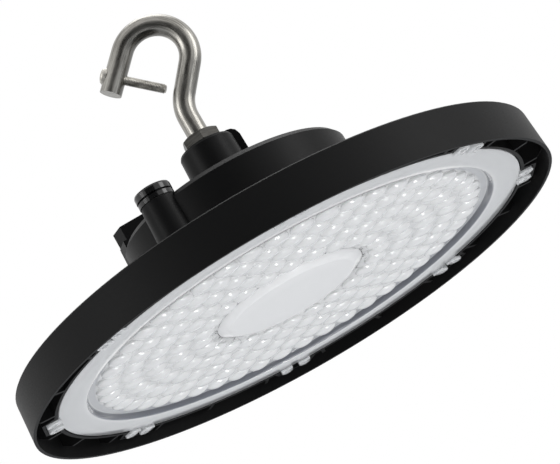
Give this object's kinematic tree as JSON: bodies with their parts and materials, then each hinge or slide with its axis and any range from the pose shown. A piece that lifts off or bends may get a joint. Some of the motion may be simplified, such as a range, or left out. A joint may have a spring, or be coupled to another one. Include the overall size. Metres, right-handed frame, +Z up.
{
  "type": "high bay light",
  "caption": "Round black high bay light with a finned aluminium housing, a moulded lens cover, a driver drum on top and a suspension hook.",
  "frame": {"origin": "centre of the rim's lower edge, on the round body's axis", "axes": "+Z up along the body's axis to the hook, -Y towards the side of the control port, +X to the side away from the hook's free end"},
  "size_m": [0.28, 0.28, 0.1668],
  "materials": {
    "housing_paint": "matte black powder coat",
    "gland_metal": "satin black",
    "hook_steel": "satin stainless",
    "nut_steel": "plain stainless",
    "cap_plastic": "gloss black",
    "seal_rubber": "matte black",
    "clear_rubber": "matte grey silicone",
    "lens_plastic": "frosted clear",
    "board_white": "white solder mask",
    "pad_grey": "matte grey silicone",
    "module_case": "potted white case",
    "wire_white": "white insulation"
  },
  "bodies": {
    "root": {"heat_sink_housing": "housing_paint", "driver_housing": "housing_paint", "housing_gasket": "seal_rubber", "hook_hub": "housing_paint", "hub_retaining_nut": "nut_steel", "suspension_hook": "hook_steel", "hook_lock_nut": "nut_steel", "hook_locking_screw": "nut_steel", "port_seal": "seal_rubber", "control_port": "cap_plastic", "port_cap": "cap_plastic", "cable_gland_body": "gland_metal", "cable_gland_seal": "seal_rubber", "cable_gland_nut": "gland_metal", "cable_gland_locknut": "gland_metal", "led_board": "board_white", "thermal_pad": "pad_grey", "board_screws": "nut_steel", "housing_screws": "nut_steel", "driver_module_screws": "nut_steel", "driver_module": "module_case", "lead_grommet": "seal_rubber", "led_leads": "wire_white", "lens_cover": "lens_plastic", "lens_gasket": "clear_rubber"}
  },
  "joints": []
}
